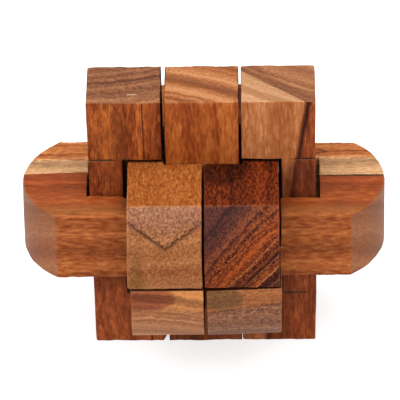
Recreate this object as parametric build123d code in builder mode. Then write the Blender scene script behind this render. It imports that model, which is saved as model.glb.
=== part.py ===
"""A wooden burr of nine interlocking square sticks.

Three upright posts stand side by side, two rails cross them from left to right, and four bars
run through the middle from front to back as a two by two bundle. Every stick fills a row of
half-stick cells round the shared centre, less the cells that its neighbours hold. The middle
post has no notch: it is the key, and lifts straight out.

Frame: +X to the right, +Y to the back, +Z up. The origin is on the table, under the centre.
Millimetres.
"""

import os
from math import sqrt

from build123d import *

# ---- the sticks
stick = 20.0  # width of every stick, and the height of all but the rails
rail_height = 19.0  # the rails are planed a little flatter
rail_length = 98.0  # left to right, tip to tip
bar_length = 84.2  # front to back, tip to tip
post_above = 18.6  # how far the posts stand above the top bars
post_below = 16.2  # how far the posts stand below the lowest bars
end_radius = 26.0  # one rounding across the ends of each pair of rails or bars
ease = 0.5  # chamfer sanded along the edges of a stick before it is notched

# ---- clearances
seam = 0.4  # between neighbouring sticks, and round a stick that passes through a notch
shoulder_gap = 0.8  # between the bars and the shoulders of a side post's notch
web_gap = 1.0  # between the bars and the thin part of a side post
slot_gap = 0.9  # between the outer face of a side post and the end of the rails' slot

# ---- what follows from them
pitch = stick + seam  # from one stick's centre to the next
pair = stick + seam / 2  # from the centre to the outer face of a pair of sticks
core = post_below + pair  # height of the shared centre above the table
post_length = post_below + 2 * pair + post_above
notch_top = rail_height / 2 + seam  # how far a bar's notch clears the rails, from the centre
web_face = pair + web_gap  # from the centre to the inner face of a side post's thin part
row_face = pitch + stick / 2  # from the centre to the outer face of a side post
key_notch = stick / 2 + seam  # from the centre to each wall round the key
past = stick  # cuts that go right through overrun by this much

os.makedirs("parts", exist_ok=True)


def saw_out(x, y, z):
    """Cut the box between the low and high ends in x, y and z out of the stick in hand."""
    with Locations(((x[0] + x[1]) / 2, (y[0] + y[1]) / 2, (z[0] + z[1]) / 2)):
        Box(x[1] - x[0], y[1] - y[0], z[1] - z[0], mode=Mode.SUBTRACT)


def mirrored(side, near, far):
    """The low and high ends of a span that runs from near to far on one side of the centre."""
    return tuple(sorted((side * near, side * far)))


def end_reach(length, offset):
    """Half length of a rounded stick, at this distance from the middle of its pair."""
    return length / 2 - end_radius + sqrt(end_radius**2 - offset**2)


def rounded_outline(length, side):
    """Draw one stick of a pair, with the pair's rounding carried across both its ends."""
    near, middle, far = (side * v for v in (seam / 2, pair / 2, pair))
    Line((-end_reach(length, near), near), (end_reach(length, near), near))
    for end in (1, -1):
        ThreePointArc(*((end * end_reach(length, v), v) for v in (near, middle, far)))
    Line((end_reach(length, far), far), (-end_reach(length, far), far))


def finish(piece, name):
    """Label a finished stick and write it out."""
    piece.part.label = name
    export_step(piece.part, f"parts/{name}.step")


# ---- key post: a plain stick, in the middle of the row
with BuildPart() as key_post:
    with BuildSketch(Plane.XY):
        Rectangle(stick, stick)
    extrude(amount=post_length)
    chamfer(key_post.edges(), length=ease)
finish(key_post, "key_post")

# ---- side posts: one deep notch facing the key, which takes a pair of bars
for name, side in (("left_post", -1), ("right_post", 1)):
    with BuildPart() as side_post:
        with BuildSketch(Plane((side * pitch, 0, 0))):
            Rectangle(stick, stick)
        extrude(amount=post_length)
        chamfer(side_post.edges(), length=ease)
        saw_out(
            mirrored(side, 0, web_face),
            (-past, past),
            (core - pair - shoulder_gap, core + pair + shoulder_gap),
        )
    finish(side_post, name)

# ---- rails: slots on the inner face for the three posts, and a trench for the last bar
for name, side in (("front_rail", -1), ("back_rail", 1)):
    with BuildPart() as rail:
        with BuildSketch(Plane.XY.offset(core - rail_height / 2)):
            with BuildLine():
                rounded_outline(rail_length, side)
            make_face()
        extrude(amount=rail_height)
        chamfer(rail.edges(), length=ease)
        slot_depth = mirrored(side, 0, key_notch)
        through = (core - past, core + past)
        saw_out((-key_notch, key_notch), slot_depth, through)
        for end in (-1, 1):
            saw_out(mirrored(end, pair, row_face + slot_gap), slot_depth, through)
        saw_out(
            (-seam / 2, pair + seam),
            mirrored(side, -past, pair + past),
            (core - seam / 2, core + past),
        )
    finish(rail, name)

# ---- bars: a side notch clears the key, and all but one straddle the two rails
for across, side in (("left", -1), ("right", 1)):
    for level, rise in (("upper", 1), ("lower", -1)):
        with BuildPart() as bar:
            near_face = Plane((side * pitch / 2 - stick / 2, 0, core), x_dir=(0, 1, 0), z_dir=(1, 0, 0))
            with BuildSketch(near_face):
                with BuildLine():
                    rounded_outline(bar_length, rise)
                make_face()
            extrude(amount=stick)
            chamfer(bar.edges(), length=ease)
            saw_out(
                mirrored(side, 0, key_notch),
                (-key_notch, key_notch),
                (core - 2 * past, core + 2 * past),
            )
            if (level, across) != ("upper", "right"):
                low, high = mirrored(rise, 0, notch_top)
                saw_out(
                    (-2 * past, 2 * past),
                    (-pair - seam, pair + seam),
                    (core + low, core + high),
                )
        finish(bar, f"{level}_{across}_bar")
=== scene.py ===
"""A wooden burr: nine oiled hardwood sticks, sawn, notched and locked together by hand."""
import math

import bpy
import numpy as np
from mathutils import Euler, Matrix, Vector


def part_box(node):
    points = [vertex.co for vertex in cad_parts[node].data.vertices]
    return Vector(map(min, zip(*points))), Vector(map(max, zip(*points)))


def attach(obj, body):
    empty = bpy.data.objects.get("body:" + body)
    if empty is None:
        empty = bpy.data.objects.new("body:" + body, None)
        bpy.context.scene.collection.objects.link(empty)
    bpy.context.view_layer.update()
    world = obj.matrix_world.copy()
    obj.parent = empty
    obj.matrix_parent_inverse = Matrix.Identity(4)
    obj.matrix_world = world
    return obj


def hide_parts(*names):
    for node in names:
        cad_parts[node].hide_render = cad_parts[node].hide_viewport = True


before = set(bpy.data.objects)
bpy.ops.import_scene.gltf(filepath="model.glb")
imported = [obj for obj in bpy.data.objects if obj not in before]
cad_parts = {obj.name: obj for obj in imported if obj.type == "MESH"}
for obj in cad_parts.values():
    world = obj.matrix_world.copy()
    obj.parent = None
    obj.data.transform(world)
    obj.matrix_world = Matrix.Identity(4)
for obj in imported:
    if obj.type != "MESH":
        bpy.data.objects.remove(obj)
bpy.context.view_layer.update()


# ---- camera
# A long lens about 1.3 m away, looking down by 31 degrees, so that the upright posts hardly
# converge. It hangs a little out of level.
MM = 0.001  # one millimetre, in metres
aim = Vector((-1.06, 0, 38.9)) * MM
distance = 1338 * MM
focal_length = 443.9  # in mm
sees_as_far_as = 20  # in metres
looks_down, turned, rolled = (math.radians(a) for a in (30.94, -0.64, -0.83))
forward = Vector((math.sin(turned) * math.cos(looks_down),
                  math.cos(turned) * math.cos(looks_down),
                  -math.sin(looks_down)))
level = Vector((math.cos(turned), -math.sin(turned), 0))
lift = level.cross(forward)
across = level * math.cos(rolled) + lift * math.sin(rolled)
upright = lift * math.cos(rolled) - level * math.sin(rolled)
camera = bpy.data.objects.new("camera", bpy.data.cameras.new("camera"))
camera.data.lens = focal_length
camera.data.clip_end = sees_as_far_as
facing = Matrix((across, upright, -forward)).transposed().to_4x4()
camera.matrix_world = Matrix.Translation(aim - distance * forward) @ facing
bpy.context.scene.collection.objects.link(camera)
bpy.context.scene.camera = camera
bpy.context.scene.view_settings.view_transform = "Standard"


# ---- floor and light
# A white sweep of paper under an even white sky, with a large soft box above the front and a
# small weak one low in front, so that tops and fronts are nearly as bright.
def linear(hex_colour):
    """An sRGB colour such as "A0522D" as linear red, green, blue and alpha."""
    srgb = [int(hex_colour[i:i + 2], 16) / 255 for i in (0, 2, 4)]
    return [c / 12.92 if c <= 0.04045 else ((c + 0.055) / 1.055) ** 2.4 for c in srgb] + [1.0]


# Matt paper, lit through from beneath: it has no sheen, reads as clean white right up to the
# sticks' feet, and takes only the faintest grey shadow.
paper = bpy.data.materials.new("white_paper_matt")
paper.use_nodes = True
for socket, value in (("Base Color", linear("A6A6A6")), ("Emission Color", linear("FFFFFF")),
                      ("Emission Strength", 0.72), ("Roughness", 0.9), ("Specular IOR Level", 0.1)):
    paper.node_tree.nodes["Principled BSDF"].inputs[socket].default_value = value
half = 4  # half the sheet's width, in metres
sheet = bpy.data.meshes.new("floor")
sheet.from_pydata([(-half, -half, 0), (half, -half, 0), (half, half, 0), (-half, half, 0)],
                  [], [(0, 1, 2, 3)])
sheet.materials.append(paper)
floor = bpy.data.objects.new("floor", sheet)
bpy.context.scene.collection.objects.link(floor)

world = bpy.data.worlds.new("studio")
world.use_nodes = True
world.node_tree.nodes["Background"].inputs["Color"].default_value = linear("FFFFFF")
world.node_tree.nodes["Background"].inputs["Strength"].default_value = 0.72
bpy.context.scene.world = world
lit_place = Vector((0, 0, 0.04))
for name, spot, size, watts in (("soft_box_above", (-0.1, -0.5, 1.5), 2.6, 66.0),
                                ("soft_box_front", (-0.3, -1.6, 0.7), 0.8, 4.0)):
    lamp = bpy.data.objects.new(name, bpy.data.lights.new(name, "AREA"))
    lamp.data.size = size
    lamp.data.energy = watts
    lamp.location = spot
    lamp.rotation_euler = (lit_place - Vector(spot)).to_track_quat("-Z", "Y").to_euler()
    bpy.context.scene.collection.objects.link(lamp)


# ---- key post
# The plain middle stick, which lifts straight out. A 20 mm square of orange-brown hardwood with
# its end grain up, planed on four sides, sawn off, sanded along its edges and rubbed with oil.
def ticks(low, high, breaks, step):
    """Places along one edge: both ends and each break, crowded beside them where the wood is
    rounded, and a step apart between."""
    stops = sorted({low, high, *[b for b in breaks if low < b < high]})
    places = [[high]]
    for a, b in zip(stops[:-1], stops[1:]):
        rim = np.array([0, 0.12, 0.27, 0.45, 0.7, 1.1])
        rim = rim[rim < (b - a) / 2]
        count = max(2, round((b - a - 2 * rim[-1]) / step) + 1)
        middle = np.linspace(a + rim[-1], b - rim[-1], count)
        places += [a + rim, middle[1:-1], b - rim]
    return np.unique(np.round(np.concatenate(places), 4))


def wood_cells(axes, body, cuts):
    """Which cells between the ticks are wood: those inside the body's box and outside every cut."""
    mids = np.meshgrid(*[(t[:-1] + t[1:]) / 2 for t in axes], indexing="ij")
    within = [np.logical_and.reduce([(m > low) & (m < high) for m, low, high in zip(mids, *box)])
              for box in (body, *cuts)]
    return within[0] & ~np.logical_or.reduce(within[1:]) if cuts else within[0]


def cell_faces(axes, wood):
    """The faces of a notched stick, each a grid in two of the three directions: a quad wherever a
    wood cell meets an empty one. Gives points, welded, and the four corners of each quad."""
    counts = [len(t) for t in axes]
    padded, unit, quads = np.pad(wood, 1), np.eye(3, dtype=int), []
    for axis in range(3):
        u, v = [unit[a] for a in range(3) if a != axis]
        rest = tuple(slice(None) if a == axis else slice(1, -1) for a in range(3))
        here = padded.take(range(padded.shape[axis] - 1), axis)[rest]
        beyond = padded.take(range(1, padded.shape[axis]), axis)[rest]
        for outward, faces in ((True, here & ~beyond), (False, beyond & ~here)):
            cell = np.argwhere(faces)
            ring = np.stack([cell, cell + u, cell + u + v, cell + v], 1)
            quads.append(ring[:, ::-1] if outward == (axis == 1) else ring)
    corners = tuple(np.concatenate(quads).reshape(-1, 3).T)
    numbers, faces = np.unique(np.ravel_multi_index(corners, counts), return_inverse=True)
    index = np.unravel_index(numbers, counts)
    return np.stack([t[i] for t, i in zip(axes, index)], 1), faces.reshape(-1, 4)


def solid_boxes(body, cuts):
    """Every box of wood that can't grow any larger. Together they fill the notched stick."""
    low, high = body
    ends = [[c[e][a] for c in cuts for e in (0, 1)] for a in range(3)]
    stops = [sorted({low[a], high[a], *[e for e in ends[a] if low[a] < e < high[a]]})
             for a in range(3)]
    wood = wood_cells([np.array(s) for s in stops], body, cuts)
    spans = [[(i, j) for i in range(n) for j in range(i + 1, n + 1)] for n in wood.shape]
    full = [(a, b, c) for a in spans[0] for b in spans[1] for c in spans[2]
            if wood[slice(*a), slice(*b), slice(*c)].all()]
    largest = [f for f in full
               if not any(g != f and all(h[0] <= k[0] and h[1] >= k[1] for h, k in zip(g, f))
                          for g in full)]
    return [np.array([[stops[a][f[a][e]] for a in range(3)] for e in (0, 1)]) for f in largest]


def ripple(points, size, seed):
    """Smooth noise, about -1 to 1: the sum of sixteen sine waves of about this size in mm, each in
    a random direction, over five."""
    rng = np.random.default_rng(seed)
    waves = 16
    heading = rng.normal(size=(waves, 3))
    heading *= 2 * math.pi / (size * rng.uniform(0.6, 1.7, (waves, 1))
                              * np.linalg.norm(heading, axis=1, keepdims=True))
    return np.sin(points @ heading.T + rng.uniform(0, 6.3, waves)).sum(1) / 5


def worn_round(points, boxes, blunt, seed):
    """Points moved onto a ball that rolls inside the wood, so that outer edges are rounded and inner
    ones stay sharp: q is the nearest place the ball's centre reaches, r its radius, which varies
    along the edges, and the point goes to q + r (p - q) / |p - q|. Also how far round an edge each
    is: 0 on a face, where |p - q| is r, and 1 on a square edge, where it is 1.41 r."""
    slow, quick = ripple(points, 9, seed), ripple(points, 2.5, seed + 1)
    radius = blunt * np.clip(1 + 0.45 * slow + 0.35 * quick, 0.35, 2.1)
    nearest = np.full(len(points), np.inf)
    centre = points.copy()
    for low, high in boxes:
        reach = np.clip(points, low + radius[:, None], high - radius[:, None])
        gap = ((points - reach) ** 2).sum(1)
        centre = np.where((gap < nearest)[:, None], reach, centre)
        nearest = np.minimum(nearest, gap)
    away = np.sqrt(nearest)
    rounded = centre + (points - centre) * (radius / away)[:, None]
    return rounded, np.clip((away / radius - 1) / 0.41, 0, 1)


def normals(points, faces):
    """The unit normal at each point: the mean of the faces round it, each the cross product of
    its diagonals."""
    a, b, c, d = (points[faces[:, i]] for i in range(4))
    face = np.cross(c - a, d - b)
    total = np.stack([np.bincount(faces.ravel(), np.repeat(face[:, axis], 4), len(points))
                      for axis in range(3)], 1)
    return total / np.maximum(np.linalg.norm(total, axis=1, keepdims=True), 1e-12)


def stick_piece(name, body, cuts, grain, blunt, seed, over_cuts=(), mating=(), covered=0, shape=None):
    """A stick as an object: its faces as grids, worn round, with planed faces that are never quite
    flat, thin saw cuts that overran the notches, and shape(points) to bend it. Lengths are in mm.
    grain is the axis that the wood runs along. over_cuts are (height, front face, from, to,
    darkness). mating gives the (axis, place) of faces that rest against a neighbour, which get
    painted shade, and covered how far from the middle a bar gets painted shade under the posts."""
    low, high = body
    step, hollow, dark = 1.0, 0.05, 0.8  # between points, of a planed face, and of the painted shade on hidden faces
    kerf, kerf_depth = 0.33, 0.2  # half the height of a saw cut, and how deep it is
    breaks = [[c[e][a] for c in cuts for e in (0, 1)] for a in range(3)]
    breaks[2] += [h + d for h, *_ in over_cuts for d in (-0.45, -0.2, 0, 0.2, 0.45)]
    axes = [ticks(low[a], high[a], breaks[a], step) for a in range(3)]
    square, faces = cell_faces(axes, wood_cells(axes, body, cuts))
    points, edge = worn_round(square, solid_boxes(body, cuts), blunt, seed)
    sunk = hollow * np.maximum(0, 1 + ripple(points, 16, seed + 2))
    points -= normals(points, faces) * sunk[:, None]
    grime_and_painted_shade = np.zeros(len(points))
    for height, face, start, end, darkness in over_cuts:
        close = np.abs(square[:, 2] - height) / kerf
        here = (np.abs(square[:, 1] - face) < 0.02) & (square[:, 0] > start) & (square[:, 0] < end)
        cut = np.where(here, np.clip(1.2 - close, 0, 1), 0)
        points[:, 1] += kerf_depth * cut
        grime_and_painted_shade = np.maximum(grime_and_painted_shade, cut * darkness)
    # painted shade: faces resting against a neighbour, and a bar's middle under the posts, are
    # darkened in the colour as if in shade
    for axis, at in mating:
        grime_and_painted_shade = np.maximum(grime_and_painted_shade, dark * (np.abs(square[:, axis] - at) < 0.01))
    grime_and_painted_shade = np.maximum(grime_and_painted_shade, dark * (np.abs(square[:, 1]) < covered))
    if shape:
        points = shape(points)
    # a face is end grain by how squarely it crosses the grain, in full from about 33 degrees off
    end = np.clip((np.abs(normals(points, faces)[:, grain]) - 0.3) / 0.25, 0, 1)
    mesh = bpy.data.meshes.new(name)
    mesh.from_pydata(points * MM, [], faces)
    for label, values in (("end_grain", end), ("edge_wear_and_highlight", edge), ("saw_grime_and_painted_shade", grime_and_painted_shade)):
        layer = mesh.attributes.new(label, "FLOAT", "POINT")
        layer.data.foreach_set("value", values.astype(np.float32))
    mesh.polygons.foreach_set("use_smooth", np.ones(len(faces), bool))
    mesh.set_sharp_from_angle(angle=math.radians(42))
    piece = bpy.data.objects.new(name, mesh)
    bpy.context.scene.collection.objects.link(piece)
    return piece


def add_node(tree, kind, links=(), stops=(), **settings):
    """Add a shader node with its settings, and the colours of its ramp as (place, hex) stops. links
    gives each input, by its name or its number in the node's list, a value, or a node whose first
    live output feeds it. On a Mix node 6 and 7 are the two colours, and on a Map Range node 1 to 4
    are the range it takes and the range it gives."""
    node = tree.nodes.new("ShaderNode" + kind)
    for key, value in settings.items():
        setattr(node, key, value)
    for i, (place, colour) in enumerate(stops):
        stop = node.color_ramp.elements[i] if i < 2 else node.color_ramp.elements.new(place)
        stop.position, stop.color = place, linear(colour)
    for key, value in (links.items() if isinstance(links, dict) else enumerate(links)):
        if isinstance(value, bpy.types.Node):
            value = next(output for output in value.outputs if output.enabled)
        if isinstance(value, bpy.types.NodeSocket):
            tree.links.new(value, node.inputs[key])
        else:
            node.inputs[key].default_value = value
    return node


grime_and_shade_brown = "1E0C07"  # blackish brown: dust packed into saw cuts, and painted shade on hidden faces


def oiled_hardwood(name, grain, pith, tones, end_tones, marks=(), ring=2.2, banding=1.0,
                   mottling=0.5, streaks=0.6, late_lines=0.25, lean=(0, 0), wander=0.5, pores=0.5,
                   specks=1.0, end_rings=0.0, end_pores=0.0, cloud=(4.5, 16), seed=0.0, edge_wear_and_highlight_colour="C08A5E"):
    """Sawn and oiled hardwood. Rings of about this many mm are set out round the pith, which runs
    along the grain: the distance from it, with a slow sway, picks a tone from a strip of noise, and
    thin dark lines end each year. Clouds of mottling, fibres and pores are noise drawn out along
    the grain. The oil soaks in, so what sheen there is stays broad and faint. Each mark is a patch
    of other colour, most of them other wood, a few painted shade and one a painted reflection: past
    a plane (normal, at), within a slab (and width) or in an oval (middle, radii), with an edge that
    is soft and wobbles by so many mm. depth is how much of it shows, on keeps it to the ends or the
    sides, and fold mirrors it at that x. The last argument is the colour of the worn edges, which
    where pale is partly a painted highlight."""
    wood = bpy.data.materials.new(name)
    wood.use_nodes = True
    tree = wood.node_tree
    tree.nodes.clear()
    place = add_node(tree, "TexCoord").outputs["Object"]
    place = add_node(tree, "VectorMath", {0: place, 3: 1 / MM}, operation="SCALE")
    along = Vector(grain).rotation_difference(Vector((0, 0, 1))).to_matrix()
    turn = Euler([math.radians(a) for a in (*lean, 0)]).to_matrix() @ along
    log = add_node(tree, "Mapping", {0: place, "Rotation": turn.to_euler(),
                                     "Location": -(turn @ Vector(pith))})

    noise = {}
    for label, wide, long, detail in (("sway", 16, 70, 2), ("mottle", *cloud, 3),
                                      ("fibre", 0.55, 13, 2), ("pore", 0.45, 3, 1),
                                      ("speck", 0.9, 0.9, 1)):
        # fibres and pores are really 0.1 to 0.3 mm wide: these are as fine as shows
        drawn = add_node(tree, "Mapping", {0: log, "Scale": (1 / wide, 1 / wide, 1 / long),
                                           "Location": (seed, 3 * seed, len(label) + seed)})
        noise[label] = add_node(tree, "TexNoise", {"Vector": drawn, "Detail": detail,
                                                   "Roughness": 0.6})

    sway = add_node(tree, "VectorMath", [noise["sway"].outputs["Color"], (-0.5, -0.5, -0.5)],
                    operation="ADD")
    swayed = add_node(tree, "VectorMath", [sway, (4 * wander, 4 * wander, 0), log],
                      operation="MULTIPLY_ADD")
    flat = add_node(tree, "VectorMath", [swayed, (1, 1, 0)], operation="MULTIPLY")
    from_pith = add_node(tree, "VectorMath", [flat], operation="LENGTH")
    year = add_node(tree, "Math", [from_pith, 1 / ring, seed], operation="MULTIPLY_ADD")
    band = add_node(tree, "TexNoise", {"W": year, "Scale": 0.6, "Detail": 3, "Roughness": 0.65},
                    noise_dimensions="1D")
    late = add_node(tree, "Math", [year], operation="FRACT")
    late = add_node(tree, "Math", [late, 6.0], operation="POWER")

    spread = 1.6  # how far the noise carries a tone along its ramp
    tone = add_node(tree, "Math", [late, -late_lines, 0.5], operation="MULTIPLY_ADD")
    for source, share in ((band, banding), (noise["mottle"], mottling), (noise["fibre"], streaks)):
        part = add_node(tree, "Math", [source, 0.5], operation="SUBTRACT")
        tone = add_node(tree, "Math", [part, share * spread, tone], operation="MULTIPLY_ADD")
    places = (0.1, 0.4, 0.62, 0.92)  # where the four tones stand on the ramp
    colour = add_node(tree, "ValToRGB", [tone], stops=list(zip(places, tones)))

    # sawn ends drink more oil: the rings stand out and the open fibres show as specks
    cut = add_node(tree, "Attribute", attribute_name="end_grain").outputs["Fac"]
    speck = add_node(tree, "Math", [noise["speck"], 0.5], operation="SUBTRACT")
    end_tone = add_node(tree, "Math", [speck, 1.5 * specks, tone], operation="MULTIPLY_ADD")
    ringed = add_node(tree, "Math", [band, 0.5], operation="SUBTRACT")
    end_tone = add_node(tree, "Math", [ringed, spread * end_rings, end_tone],
                        operation="MULTIPLY_ADD")
    end_colour = add_node(tree, "ValToRGB", [end_tone], stops=list(zip(places, end_tones)))
    colour = add_node(tree, "Mix", {0: cut, 6: colour, 7: end_colour}, data_type="RGBA")
    side = add_node(tree, "Math", [1.0, cut], operation="SUBTRACT")
    shades = {label: add_node(tree, "MapRange", {0: source, 1: 0.1, 2: 0.9, 3: 0.5, 4: 1.5})
              for label, source in (("side", tone), ("end", end_tone))}

    # heartwood, sapwood, knots and stains, and a few patches of painted shade and painted reflection
    for mark in marks:
        point = place
        if "fold" in mark:
            moved = add_node(tree, "VectorMath", [place, (mark["fold"], 0, 0)],
                             operation="SUBTRACT")
            x, y, z = add_node(tree, "SeparateXYZ", [moved]).outputs
            folded = add_node(tree, "Math", [x], operation="ABSOLUTE")
            point = add_node(tree, "CombineXYZ", [folded, y, z])
        if "middle" in mark:
            radius = min(mark["radii"])
            off = add_node(tree, "VectorMath", [point, mark["middle"]], operation="SUBTRACT")
            off = add_node(tree, "VectorMath", [off, mark["radii"]], operation="DIVIDE")
            off = add_node(tree, "VectorMath", [off], operation="LENGTH")
            away = add_node(tree, "Math", [off, -radius, radius], operation="MULTIPLY_ADD")
        else:
            normal = Vector(mark["normal"]).normalized()
            away = add_node(tree, "VectorMath", [point, normal], operation="DOT_PRODUCT")
            away = add_node(tree, "Math", [away, mark["at"]], operation="SUBTRACT")
        drift = add_node(tree, "Math", [noise["mottle"], 0.5], operation="SUBTRACT")
        away = add_node(tree, "Math", [drift, mark.get("wobble", 1.0) * 2, away],
                        operation="MULTIPLY_ADD")
        if "width" in mark:
            away = add_node(tree, "Math", [away], operation="ABSOLUTE")
            away = add_node(tree, "Math", [mark["width"], away], operation="SUBTRACT")
        soft = mark.get("soft", 0.3)
        cover = add_node(tree, "MapRange", {0: away, 1: -soft, 2: soft, 4: mark.get("depth", 1.0)},
                         interpolation_type="SMOOTHSTEP")
        if "on" in mark:
            cover = add_node(tree, "Math", [cover, cut if mark["on"] == "end" else side],
                             operation="MULTIPLY")
        if "tones" in mark:
            stain = add_node(tree, "ValToRGB", [end_tone if mark.get("on") == "end" else tone],
                             stops=list(zip(places, mark["tones"])))
        else:
            stain = add_node(tree, "VectorMath", {0: linear(mark["colour"])[:3],
                                                  3: shades[mark.get("on", "side")]},
                             operation="SCALE")
        colour = add_node(tree, "Mix", {0: cover, 6: colour, 7: stain}, data_type="RGBA")

    # open pores; worn edges tinted, the pale ones partly a painted highlight; and dust in the saw
    # cuts, with painted shade on hidden faces
    pore = add_node(tree, "MapRange", {0: noise["pore"], 1: 0.6, 2: 0.72, 4: pores})
    pit = add_node(tree, "MapRange", {0: noise["speck"], 1: 0.36, 2: 0.28, 4: end_pores})
    pit = add_node(tree, "Math", [pit, cut], operation="MULTIPLY")
    pore = add_node(tree, "Math", [pore, side, pit], operation="MULTIPLY_ADD")
    colour = add_node(tree, "Mix", {0: pore, 6: colour, 7: linear("2A120A")}, data_type="RGBA")
    # worn edges tinted; where the edge colour is pale this is partly a painted highlight
    edge = add_node(tree, "Attribute", attribute_name="edge_wear_and_highlight").outputs["Fac"]
    patchy = add_node(tree, "MapRange", {0: noise["speck"], 1: 0.42, 2: 0.6, 4: 0.45})
    edge = add_node(tree, "Math", [edge, patchy], operation="MULTIPLY")
    colour = add_node(tree, "Mix", {0: edge, 6: colour, 7: linear(edge_wear_and_highlight_colour)}, data_type="RGBA")
    # painted shade: hidden faces are darkened with the same blackish brown as the saw cuts
    grime_and_painted_shade = add_node(tree, "Attribute", attribute_name="saw_grime_and_painted_shade").outputs["Fac"]
    colour = add_node(tree, "Mix", {0: grime_and_painted_shade, 6: colour, 7: linear(grime_and_shade_brown)}, data_type="RGBA")

    # fibres stand up and pores sink by about a tenth of a millimetre, and where the wood drank
    # less oil it is a little smoother
    height = add_node(tree, "Math", [noise["speck"], cut, noise["fibre"]], operation="MULTIPLY_ADD")
    height = add_node(tree, "Math", [pore, -1.0, height], operation="MULTIPLY_ADD")
    bump = add_node(tree, "Bump", {"Height": height, "Strength": 0.4, "Distance": 0.15 * MM})
    gloss = add_node(tree, "MapRange", {0: noise["mottle"], 1: 0.3, 2: 0.7, 3: 0.45, 4: 0.62})
    shader = add_node(tree, "BsdfPrincipled", {
        "Base Color": colour, "Roughness": gloss, "IOR": 1.47, "Specular IOR Level": 0.08,
        "Normal": bump})
    add_node(tree, "OutputMaterial", {"Surface": shader})
    return wood


def place_stick(piece, node, material):
    """Give a stick its wood, and let it stand for the CAD node of its own body."""
    piece.data.materials.append(material)
    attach(piece, node)
    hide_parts(node)


half_stick = 10.0  # from the middle of a stick to its faces
body = np.array(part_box("key_post")) / MM


def askew(points):
    """The key stands a hair askew in its gap: x moves in step with the height above 36 mm, to the
    left above it and to the right below."""
    most = 0.25
    points[:, 0] -= most * np.clip((points[:, 2] - 36) / 26, -0.6, 1)
    return points


key_post = stick_piece("key_post_stick", body, [], grain=2, blunt=0.55, seed=11, shape=askew,
                       mating=[(0, -half_stick), (0, half_stick)])
# Close, straight grain: fine dashes run down a warm, even orange-brown with shade painted in
# towards the foot, under the bars, and wide curved bands cross the paler top.
place_stick(key_post, "key_post", oiled_hardwood(
    "orange_brown_hardwood_planed_and_oiled", grain=(0, 0, 1), pith=(-28, -62, 0),
    tones=("682B0D", "813D17", "934C1D", "A96731"),
    end_tones=("69381B", "864C26", "975E39", "A6754C"),
    ring=3.0, banding=0.45, end_rings=0.6, streaks=0.65, mottling=0.8, pores=0.4, seed=1.7,
    edge_wear_and_highlight_colour="6E3216",
    # painted shade: the foot is darkened as if shaded by the bars above it
    marks=[dict(normal=(0, 0, -1), at=-13.0, soft=7.0, colour="361409", depth=0.6, on="side"),
           dict(normal=(1, 0, -0.1), at=1.0, soft=4.0, colour="833D1D", depth=0.3, on="side"),
           dict(normal=(0.45, 0.89, 0), at=0.0, width=1.6, soft=1.2, colour="6A3C22", depth=0.5,
                on="end", wobble=2)]))


# ---- side posts
# The outer sticks of the row, of red-brown wood on the left and of a board sawn across the edge
# of the heartwood on the right. One deep notch each was sawn out for the pair of bars, and the
# saw overran its corners by a few millimetres.
core = 36.4  # height of the burr's centre above the table
seam = 0.4  # between neighbouring sticks
pair = 2 * half_stick + seam / 2  # from the centre to the outer face of two sticks side by side
key_wall = half_stick + seam  # from the centre to the face that the key slides along
shoulder = pair + 0.8  # from the centre to the notch's top and foot
web_face = pair + 1.0  # from the centre to the face of the thin part
far = 150  # past any face, for a cut that runs right through
body = np.array(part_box("left_post")) / MM
notch = [(-web_face, -far, core - shoulder), (0, far, core + shoulder)]


def leaning(points):
    """The post leans to the left above 30 mm and to the right below, x moving in step with the
    height, and a corner is off its foot, where the side by the key slopes away from it."""
    at_top, corner_width, corner_height = 0.7, 1.4, 2.6
    foot = np.clip(1 - points[:, 2] / corner_height, 0, 1) * (points[:, 0] > -12)
    points[:, 0] -= at_top * (points[:, 2] - 30) / 45 + corner_width * foot
    return points


left_post = stick_piece("left_post_stick", body, [notch], grain=2, blunt=0.6, seed=21,
                        shape=leaning, mating=[(0, -key_wall)],
                        over_cuts=[(core + shoulder, -half_stick, -30.2, -24.0, 0.6)])
# Coarser and darker: strong red and orange streaks with open pores, a thin drying crack down the
# front, a dark saw line over the notch, and a top gone greyish brown with handling.
place_stick(left_post, "left_post", oiled_hardwood(
    "red_brown_hardwood_planed_and_oiled", grain=(0, 0, 1), pith=(-34, 66, 0),
    tones=("4B1C08", "6E3010", "843F1A", "A35A24"),
    end_tones=("442516", "633B24", "76482E", "895D3D"),
    ring=1.7, banding=0.9, streaks=0.95, mottling=0.85, pores=0.55, seed=5.2, lean=(0, 0.9),
    edge_wear_and_highlight_colour="5A2814",
    marks=[dict(normal=(1, 0, 0), at=-25.2, width=2.6, soft=2.2, colour="A45D26", depth=0.25,
                on="side", wobble=2),
           dict(normal=(0, 0, -1), at=-57.2, soft=1.0, colour="642812", depth=0.5, on="side"),
           dict(normal=(0, 0, -1), at=-17.0, soft=1.0, colour="994C26", depth=0.3, on="side"),
           dict(middle=(-27.1, -10, core + shoulder), radii=(3.3, 2, 0.3), soft=0.2, colour=grime_and_shade_brown,
                depth=0.9, on="side", wobble=0.1),
           dict(normal=(0, -1, 0), at=7.4, soft=0.9, colour="8B5C3C", depth=0.5, on="end"),
           dict(middle=(-18.8, -5.6, 75), radii=(1.5, 0.3, 6), soft=0.15, colour="BBA68F",
                depth=0.35, on="end", wobble=0.2),
           dict(normal=(1, 0, 0.02), at=-14.6, width=0.18, soft=0.25, colour="230B04", depth=0.9,
                on="side", wobble=0.3)]))

body = np.array(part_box("right_post")) / MM
notch = [(0, -far, core - shoulder), (web_face, far, core + shoulder)]


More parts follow.
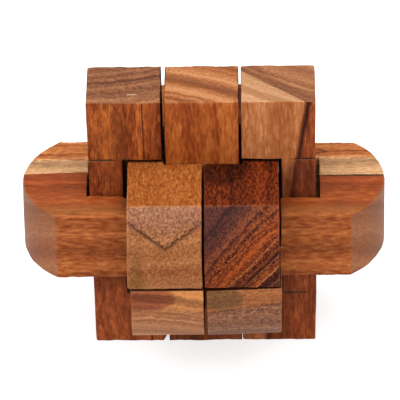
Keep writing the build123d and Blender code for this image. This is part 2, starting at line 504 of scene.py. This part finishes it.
def tapered_web(points):
    """Its top and foot stand towards the key, x moving in step with the height. The saw ran off
    square: towards the back the thin part is thicker, and most so above and below the rails."""
    at_top, at_foot, thicker, clear_of_rails = 0.2, 0.25, 0.6, 0.15
    x, y, z = points.T
    inner = (np.abs(x - web_face) < 0.3) & (np.abs(z - core) < shoulder - 0.1)
    clear = np.clip(np.maximum(z - 37, core - key_wall - z), 0, 1)
    grown = (thicker + clear_of_rails * clear) * np.clip((y + 8) / 6, 0, 1)
    top, foot = np.clip((z - 42) / 10, 0, 1), np.clip((15 - z) / 8, 0, 1)
    points[:, 0] = x - at_top * top - at_foot * foot - inner * grown
    return points


right_post = stick_piece("right_post_stick", body, [notch], grain=2, blunt=0.45, seed=31,
                         shape=tapered_web, mating=[(0, key_wall)],
                         over_cuts=[(core + shoulder, -half_stick, 24.6, 30.3, 0.6),
                                    (core - shoulder, -half_stick, 21.2, 27.5, 0.6)])
# Two woods in one stick: pale pinkish tan to the left and deep red to the right meet at a thin
# blackish line, which slants down the front and crosses the top to the back corner by the key.
heart_edge = dict(normal=(1, 1, -0.147), at=4.466, soft=0.15, wobble=0.25)
place_stick(right_post, "right_post", oiled_hardwood(
    "two_tone_hardwood_planed_and_oiled", grain=(0, 0, 1), pith=(70, 70, 0),
    tones=("7F421F", "8F532B", "9C5F38", "AF764C"),
    end_tones=("865B3B", "976846", "A07452", "AD8764"),
    ring=2.0, banding=0.6, end_rings=0.6, streaks=0.9, mottling=0.8, pores=0.5, specks=1.1,
    seed=8.9, edge_wear_and_highlight_colour="9A5A34",
    marks=[dict(heart_edge, tones=("58250E", "723414", "87401F", "A55B30"), on="side"),
           dict(heart_edge, tones=("5B331D", "79492B", "885839", "986B48"), on="end"),
           dict(heart_edge, at=6.2, width=1.7, soft=1.0, colour="673D26", depth=0.7, on="end"),
           dict(heart_edge, at=5.15, width=0.45, soft=0.6, colour="180504", depth=1.0, on="side"),
           dict(normal=(0, 0, -1), at=-17.0, soft=1.0, colour="5A2208", depth=0.4, on="side"),
           dict(middle=(27.3, -10, core + shoulder), radii=(3.0, 2, 0.3), soft=0.2, colour=grime_and_shade_brown,
                depth=0.9, on="side", wobble=0.1),
           dict(middle=(24.2, -10, core - shoulder), radii=(3.2, 2, 0.3), soft=0.2, colour=grime_and_shade_brown,
                depth=0.9, on="side", wobble=0.1),
           dict(middle=(27, -10, 49.5), radii=(5.5, 8, 8.2), soft=1.0, colour="4D2112", depth=0.65,
                on="side"),
           dict(heart_edge, at=4.6, width=0.1, soft=0.2, colour="41200D", depth=0.8, on="end")]))


# ---- rails
# Two sticks on their sides, from left to right, slotted for the posts. Their ends were sanded to
# one curve after they were put together. The back one still has a strip of pale sapwood.
rail_length, end_radius = 98.0, 26.0
slot_end = 31.3  # from the centre to the far end of a side post's slot
trench_end = 20.6  # from the centre to the far wall of the last bar's trench


def rounded_ends(points, along, over, middle, length, start):
    """Carry one arc across both ends of a pair: a point past start is moved back along the stick
    by how much the arc, L/2 - R + sqrt(R^2 - d^2) at distance d from the middle, falls short. It
    moves in full from 1.5 mm short of the tip, and the points before that in proportion."""
    off = points[:, over] - middle
    short = end_radius - np.sqrt(end_radius ** 2 - off ** 2)
    past = np.clip((np.abs(points[:, along]) - start) / (length / 2 - 1.5 - start), 0, 1)
    points[:, along] -= np.sign(points[:, along]) * short * past
    return points


def planed_ends(side):
    """The shape of a rail. Beyond the posts its inner face, and with it the seam between the rails,
    is moved back, by less and less away from it. The back rail's rear face comes forward in step
    with x, and the front rail's top stands proud beside the left post."""
    seam_on_left, seam_on_right, taper, proud = 2.6, 1.1, 1.5, 1.0

    def shape(points):
        x, y, z = points.T
        near = np.clip(1 - np.abs(y) / 10.2, 0, 1)
        y = y + np.where(x < -31.25, seam_on_left, np.where(x > 31.25, seam_on_right, 0)) * near
        y -= taper * np.clip((x - 8) / 24, 0, 1) * np.clip((y - 10.5) / 9.7, 0, 1)
        if side < 0:
            beside = np.clip((-x - 20.7) / 1.2, 0, 1) * np.clip((x + 60) / 25, 0, 1)
            z = z + proud * beside * np.clip((y + 20) / 8, 0, 1) * (z > core + 9.3)
        return rounded_ends(np.stack([x, y, z], 1), 0, 1, 0, rail_length, start=33.0)
    return shape


for name, side, spec in (
        # An even red-brown with long, soft, wavy streaks, and a lighter band along the top's front
        # edge that is partly wear and partly a painted highlight.
        ("front", -1, dict(
            pith=(0, -48, -20), tones=("521E08", "723312", "86401B", "A46535"),
            end_tones=("5C331D", "78462B", "824F33", "956644"), ring=3.0, banding=0.5,
            streaks=0.45, mottling=0.55, late_lines=0.1, seed=3.4, wander=0.7, pores=0.4,
            edge_wear_and_highlight_colour="8A4824",
            # lighter band along the top's front edge: wear and a painted highlight
            marks=[dict(normal=(0, 1, 0), at=-17.5, width=2.4, soft=1.6, colour="A46937",
                        depth=0.4, on="side", wobble=3),
                   dict(normal=(0, 1, 0), at=-2.0, width=2.2, soft=2.0, colour="7F3615",
                        depth=0.6, on="side", wobble=2),
                   dict(normal=(0.01, 0, 1), at=42.3, width=0.12, soft=0.3, colour="4C1A05",
                        depth=0.6, on="side", wobble=0.5)])),
        # Brown heartwood with dark lines, and a ragged cream strip of sapwood beside the seam.
        ("back", 1, dict(
            pith=(0, 55, 10), tones=("4E2410", "8F4D21", "A66231", "C18553"),
            end_tones=("7A4C32", "92603D", "A4704C", "B68763"), ring=1.5, banding=0.7,
            streaks=0.8, mottling=0.6, seed=7.3, wander=1.5, cloud=(2.2, 7),
            marks=[dict(normal=(0, -1, 0), at=-10.2, soft=1.7,
                        tones=("7A5539", "A67B53", "BD9468", "CCA780"), wobble=2.6),
                   dict(normal=(0, 1, 0), at=8.6, width=1.2, soft=0.9, colour="7C573B",
                        depth=0.6, wobble=1),
                   dict(normal=(0, 1, 0), at=6.6, width=0.1, soft=0.3, colour="402B1C",
                        depth=0.7, wobble=0.6),
                   dict(normal=(0, 1, 0), at=0.5, width=0.2, soft=0.3, colour="4E2E1A",
                        depth=0.6, wobble=0.6)]))):
    node = f"{name}_rail"
    body = np.array(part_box(node)) / MM
    near, deep = sorted((0, side * key_wall))
    cuts = [[(low, near, -far), (high, deep, far)]
            for low, high in ((-slot_end, -pair), (-key_wall, key_wall), (pair, slot_end))]
    cuts.append([(-seam / 2, -far, core - seam / 2), (trench_end, far, far)])
    rail = stick_piece(f"{node}_stick", body, cuts, grain=0, blunt=0.5, seed=41 + side,
                       mating=[(1, side * seam / 2)], shape=planed_ends(side))
    place_stick(rail, node, oiled_hardwood(f"{name}_rail_hardwood_planed_and_oiled",
                                           grain=(1, 0, 0), **spec))


# ---- bars
# Four sticks from front to back, two over two, each notched round the key and all but the upper
# right one over the rails. Their ends are sanded to one curve, and show the sawn end grain.
bar_length = 84.2
over_rail = 9.5 + seam  # from the centre to the face of a bar that lies over or under a rail


def bar_shape(side, rise):
    """Rounds a bar's ends. Clear of the rails the lower pair lies to the right, the left one drawn
    in by 3 % of its width and the right one turned by two degrees, z moving in step with x. The
    upper right one's underside slopes half as much, to keep clear of it."""
    over, drawn_in, slope = (0.3, 0.03, 0.0) if side < 0 else (0.5, 0.0, 0.04)

    def shape(points):
        points = rounded_ends(points, 1, 2, core, bar_length, start=22.5)
        x, y, z = points.T
        clear = np.clip((np.abs(y) - 20.8) / 3, 0, 1)
        if rise < 0:
            # below the rails it starts beside the key, and goes nearly twice as far as at the tips
            further = 1 + 0.8 * np.clip((20.5 - np.abs(y)) / 2, 0, 1)
            below = np.clip((np.abs(y) - 10.8) / 2, 0, 1) * further
            past = np.where(z < 26.4, below, clear)
            x = x + past * (over - drawn_in * (x + 0.2))
            z = z + clear * (slope * (x - 6))
        else:
            under = np.clip((core + pair - z) / 20, 0, 1)
            z = z + clear * (slope / 2 * x * under)
        return np.stack([x, y, z], 1)
    return shape


upper_rings, lower_rings = (-0.69, 0, 0.72), (-0.17, 0, 1)
for name, side, rise, spec in (
        # Even ochre on top. The end is open and grainy: a pinkish V of other wood, edged with dark
        # brown, comes down to its middle, with a greenish stain by the left edge, and a pinkish grey
        # sheen of the soft box painted along the top of the end.
        ("upper_left", -1, 1, dict(
            pith=(-14, 0, 150), tones=("662E0C", "7D4018", "894B1E", "996130"),
            end_tones=("5C3014", "733F1F", "804F2B", "93633E"), ring=2.6, banding=0.5,
            streaks=1.2, mottling=1.1, late_lines=0.05, specks=1.15, end_pores=0.4,
            cloud=(3.4, 7), pores=0.9, seed=2.2,
            marks=[dict(fold=-10.0, normal=(-0.6, 0, 1), at=42.0, soft=3.5,
                        tones=("4B2B17", "623C22", "7A4E34", "9F6F4E"), on="end", wobble=3),
                   dict(fold=-10.0, normal=(-0.6, 0, 1), at=40.8, width=0.35, soft=0.5,
                        colour="250B03", depth=0.95, on="end", wobble=1.2),
                   # painted reflection: the top of the end tinted pinkish grey, as the soft box's
                   # sheen
                   dict(normal=(0, 0, 1), at=52.6, soft=2.0, colour="7D5444", depth=0.35, on="end"),
                   dict(middle=(-17.6, -40, 43.0), radii=(1.2, 20, 4.2), soft=1.2,
                        colour="503414", depth=0.5, on="end"),
                   dict(middle=(-18.0, -40, 38.0), radii=(2.6, 20, 1.6), soft=1.2,
                        colour="4A3513", depth=0.5, on="end")])),
        # The darkest stick: blackish red with short flecks, and across its end slanting rings
        # that go from purple-brown through rust to black, parted by thin light lines.
        ("upper_right", 1, 1, dict(
            pith=(48, 0, 8), tones=("1D0602", "3F1305", "5D2107", "73310F"),
            end_tones=("1E0604", "3D0E04", "612105", "83451D"), ring=2.0, banding=0.7,
            end_rings=0.8, streaks=1.2, mottling=1.3, late_lines=0.1, specks=1.7,
            cloud=(3.4, 9), end_pores=0.3, seed=6.1, edge_wear_and_highlight_colour="8E5334",
            marks=[dict(normal=upper_rings, at=30.5, soft=4.0, colour="341916", depth=0.8,
                        on="end"),
                   dict(normal=upper_rings, at=24.6, width=1.7, soft=1.5, colour="722D07",
                        depth=0.45, on="end"),
                   dict(normal=upper_rings, at=20.6, width=1.1, soft=0.8, colour="1D0302",
                        depth=0.55, on="end", wobble=0.6),
                   dict(normal=(0.69, 0, -0.72), at=-15.5, soft=0.9, colour="180302", depth=0.55,
                        on="end", wobble=0.6),
                   *[dict(normal=upper_rings, at=at, width=0.12, soft=0.25, colour="8E5830",
                          depth=0.6, on="end", wobble=0.5) for at in (22.4, 19.3, 17.2, 14.6)],
                   # painted shade: a near-black patch on the top face in front of the key, where the
                   # key rises out of it
                   dict(middle=(5, -14, 56), radii=(7, 8, 6), soft=2.0, colour="080202",
                        depth=0.6, on="side", wobble=2)])),
        # Thin pale stripes, level across its end, under a dark red patch and a golden one.
        ("lower_left", -1, -1, dict(
            pith=(-20, 0, -40), tones=("56230B", "6F3612", "82431B", "97592C"),
            end_tones=("673821", "845131", "945F3B", "A6764F"), ring=1.6, banding=1.1,
            streaks=0.8, mottling=0.6, specks=1.0, seed=9.6,
            marks=[dict(middle=(-4.5, -42, 33.5), radii=(8, 30, 4.6), soft=1.0, colour="A16736",
                        depth=0.75, on="end"),
                   dict(middle=(-16.5, -42, 33.6), radii=(9, 30, 4.2), soft=0.5, colour="6A311A",
                        depth=0.8, on="end")])),
        # A grainy mauve-brown end, under a golden strip that has an olive stain on its left.
        ("lower_right", 1, -1, dict(
            pith=(14, 0, -44), tones=("4A1B07", "61290E", "713715", "844B23"),
            end_tones=("472619", "613A29", "7A4B32", "9B6D4A"), ring=1.6, banding=0.6,
            streaks=0.9, mottling=0.9, specks=1.3, seed=4.8,
            marks=[dict(normal=lower_rings, at=28.0, soft=0.25, colour="864E27", depth=0.8,
                        on="end", wobble=0.6),
                   dict(middle=(4, -42, 33.5), radii=(6.4, 30, 4), soft=0.5, colour="5A3C21",
                        depth=0.85, on="end"),
                   dict(normal=lower_rings, at=27.9, width=0.15, soft=0.3, colour="361A0B",
                        depth=0.7, on="end", wobble=0.6)]))):
    node = f"{name}_bar"
    body = np.array(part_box(node)) / MM
    left, right = sorted((0, side * key_wall))
    cuts = [[(left, -key_wall, -far), (right, key_wall, far)]]
    if node != "upper_right_bar":
        foot, top = sorted((core - rise, core + rise * over_rail))
        cuts.append([(-far, -trench_end, foot), (far, trench_end, top)])
    bar = stick_piece(f"{node}_stick", body, cuts, grain=1, blunt=0.5, seed=61 + 2 * side + rise,
                      mating=[(0, side * seam / 2), (2, core + rise * seam / 2)], covered=9.6,
                      shape=bar_shape(side, rise))
    place_stick(bar, node, oiled_hardwood(f"{name}_bar_hardwood_sawn_and_oiled",
                                          grain=(0, 1, 0), **spec))
